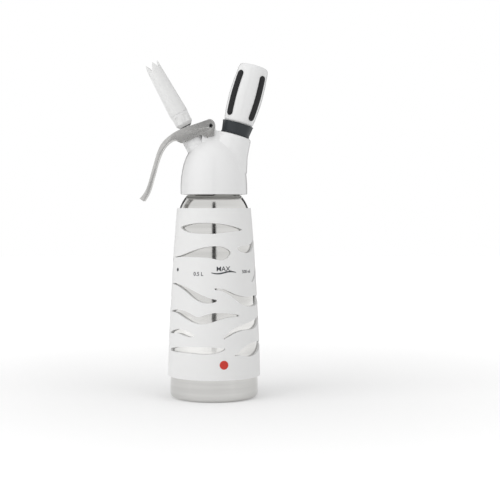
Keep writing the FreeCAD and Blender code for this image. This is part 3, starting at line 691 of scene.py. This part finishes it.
# Each piece has its finish and the angle up to which its edges are shaded smooth
plainPieces = {
    "bottle": ("polishedSteel", 30),
    "head_core": ("corePlastic", 30),
    "head_gasket": ("sealRubber", 30),
    "inlet_valve_cap": ("sealRubber", 30),
    "valve_stem": ("turnedSteel", 30),
    "valve_seal": ("sealRubber", 30),
    "stem_o_ring": ("sealRubber", 60),
    "tip_gasket": ("sealRubber", 30),
    "stem_washer": ("sealRubber", 30),
    "piercing_pin": ("turnedSteel", 30),
    "charger_gasket": ("sealRubber", 30),
    "gas_charger": ("chargerSteel", 30),
    "holder_pad": ("sealRubber", 30),
}

makeSleeve()
makeMarks()
print("sleeve and its print made")
moulded("head_cover", "glossWhite", headCover)
print("head cover made")
makeLever()
makeLeverPin()
makeHolder()
makeCollar()
makeNozzle()
makeSpring()
print("lever, holder and nozzle made")
for node, (finish, angle) in plainPieces.items():
    dressed = copyNode(node)
    smoothByAngle(dressed, angle)
    standFor(dressed, node, materials[finish])
print("plain pieces dressed", len(plainPieces))


# Stage: pale floor and backdrop that read white to the camera and to reflections

studio = {
    "floorSize": 6.0,
    "floorColor": 0.84,
    # The floor's glow for each distance from the object: low near its foot, which paints shade there, high far
    # off so the floor reads white
    "floorReach": (0.05, 0.9),
    "floorLift": (0.18, 0.62),
    "floorRough": 0.9,
    "worldLevel": 0.54,
    "aim": (0, 0, 0.16),
    "panels": {
        "panelLeft": {"place": (-1.30, -0.85, 0.75), "size": (1.4, 1.8), "power": 12.5},
        "panelRight": {"place": (1.25, -0.95, 0.70), "size": (1.4, 1.8), "power": 6.5},
        "panelTop": {"place": (0, -0.2, 1.6), "size": (1.2, 1.2), "power": 2.0},
    },
    "gapCard": {"width": 0.30, "height": 2.4, "away": 1.45},
    "sideCards": {"width": 0.55, "height": 1.6, "away": 1.3, "turns": (-157, 155)},
    "cardColor": 0.03,
}


def makeFloor():
    bpy.ops.mesh.primitive_plane_add(size=studio["floorSize"], location=(0, 0, 0))
    floor = bpy.context.object
    floor.name = "studioFloor"
    material = bpy.data.materials.new("studioPaper")
    material.use_nodes = True
    tree = material.node_tree
    shader = tree.nodes["Principled BSDF"]
    out = tree.nodes["Material Output"]
    shader.inputs["Base Color"].default_value = (studio["floorColor"],) * 3 + (1,)
    shader.inputs["Roughness"].default_value = studio["floorRough"]
    # The glow grows with distance from the object: far off it keeps the floor white, near the foot its drop is
    # painted shade round the object
    lift = addNode(tree, "ShaderNodeEmission")
    place = addNode(tree, "ShaderNodeTexCoord")
    away = addNode(tree, "ShaderNodeVectorMath", operation="LENGTH")
    fade = addNode(tree, "ShaderNodeMapRange")
    labels = ("From Min", "From Max", "To Min", "To Max")
    for label, value in zip(labels, studio["floorReach"] + studio["floorLift"]):
        fade.inputs[label].default_value = value
    tree.links.new(place.outputs["Object"], away.inputs[0])
    tree.links.new(away.outputs["Value"], fade.inputs["Value"])
    tree.links.new(fade.outputs["Result"], lift.inputs["Strength"])
    both = addNode(tree, "ShaderNodeAddShader")
    mix = addNode(tree, "ShaderNodeMixShader")
    tree.links.new(seenDirectly(tree), mix.inputs["Fac"])
    tree.links.new(shader.outputs[0], both.inputs[0])
    tree.links.new(lift.outputs[0], both.inputs[1])
    tree.links.new(shader.outputs[0], mix.inputs[1])
    tree.links.new(both.outputs[0], mix.inputs[2])
    tree.links.new(mix.outputs[0], out.inputs["Surface"])
    wear(floor, material)


def seenDirectly(tree):
    # 1 for rays from the camera, from a reflection and through glass
    rays = addNode(tree, "ShaderNodeLightPath")
    either = addNode(tree, "ShaderNodeMath", operation="MAXIMUM")
    seen = addNode(tree, "ShaderNodeMath", operation="MAXIMUM")
    tree.links.new(rays.outputs["Is Camera Ray"], either.inputs[0])
    tree.links.new(rays.outputs["Is Glossy Ray"], either.inputs[1])
    tree.links.new(either.outputs[0], seen.inputs[0])
    tree.links.new(rays.outputs["Is Transmission Ray"], seen.inputs[1])
    return seen.outputs[0]


def makeWorld():
    world = bpy.data.worlds.new("studioWorld")
    bpy.context.scene.world = world
    world.use_nodes = True
    tree = world.node_tree
    for node in list(tree.nodes):
        tree.nodes.remove(node)
    soft = addNode(tree, "ShaderNodeBackground")
    white = addNode(tree, "ShaderNodeBackground")
    mix = addNode(tree, "ShaderNodeMixShader")
    out = addNode(tree, "ShaderNodeOutputWorld")
    soft.inputs["Color"].default_value = (1, 1, 1, 1)
    soft.inputs["Strength"].default_value = studio["worldLevel"]
    white.inputs["Strength"].default_value = 1.0
    white.inputs["Color"].default_value = (1, 1, 1, 1)
    tree.links.new(seenDirectly(tree), mix.inputs["Fac"])
    tree.links.new(soft.outputs[0], mix.inputs[1])
    tree.links.new(white.outputs[0], mix.inputs[2])
    tree.links.new(mix.outputs[0], out.inputs["Surface"])


def addPanel(name, look):
    light = bpy.data.lights.new(name, "AREA")
    light.shape = "RECTANGLE"
    light.size, light.size_y = look["size"]
    light.energy = look["power"]
    panel = bpy.data.objects.new(name, light)
    bpy.context.scene.collection.objects.link(panel)
    panel.location = look["place"]
    panel.visible_glossy = False
    heading = Vector(studio["aim"]) - Vector(look["place"])
    panel.rotation_euler = heading.to_track_quat("-Z", "Y").to_euler()


def addCard(name, card, turn, material):
    # A tall dark card that only reflections see; turn is counted from the camera side
    bearing = math.radians(turn)
    place = (math.sin(bearing) * card["away"], -math.cos(bearing) * card["away"], card["height"] / 2)
    bpy.ops.mesh.primitive_plane_add(size=1, location=place, rotation=(math.pi / 2, 0, bearing))
    piece = bpy.context.object
    piece.name = name
    piece.scale = (card["width"], card["height"], 1)
    applyPlace(piece)
    wear(piece, material)
    piece.visible_camera = False
    piece.visible_diffuse = False
    piece.visible_shadow = False


def makeStudio():
    makeFloor()
    makeWorld()
    for name, look in studio["panels"].items():
        addPanel(name, look)
    black = bpy.data.materials.new("cardPaint")
    black.use_nodes = True
    shade = studio["cardColor"]
    black.node_tree.nodes["Principled BSDF"].inputs["Base Color"].default_value = (shade, shade, shade, 1)
    black.node_tree.nodes["Principled BSDF"].inputs["Roughness"].default_value = 1.0
    addCard("gapCard", studio["gapCard"], 0, black)
    for number, turn in enumerate(studio["sideCards"]["turns"]):
        addCard("sideCard" + str(number + 1), studio["sideCards"], turn, black)


# Camera, placed from the photograph's own perspective

camera = {
    "distance": 1.060,
    "height": 0.176,
    "focusPixels": 1137.0,
    "frameSize": 500,
    "sensorWidth": 36,
    "axisColumn": 214,
    "horizonRow": 208,
}


def makeCamera():
    data = bpy.data.cameras.new("photoCamera")
    eye = bpy.data.objects.new("photoCamera", data)
    bpy.context.scene.collection.objects.link(eye)
    middle = camera["frameSize"] / 2
    data.sensor_width = camera["sensorWidth"]
    data.lens = data.sensor_width * camera["focusPixels"] / camera["frameSize"]
    pitch = math.atan((middle - camera["horizonRow"]) / camera["focusPixels"])
    yaw = math.atan((middle - camera["axisColumn"]) / camera["focusPixels"])
    eye.location = (0, -camera["distance"], camera["height"])
    eye.rotation_euler = (math.pi / 2 - pitch, 0, -yaw)
    bpy.context.scene.camera = eye


makeStudio()
makeCamera()
bpy.context.scene.view_settings.view_transform = "Standard"
print("studio and camera set")
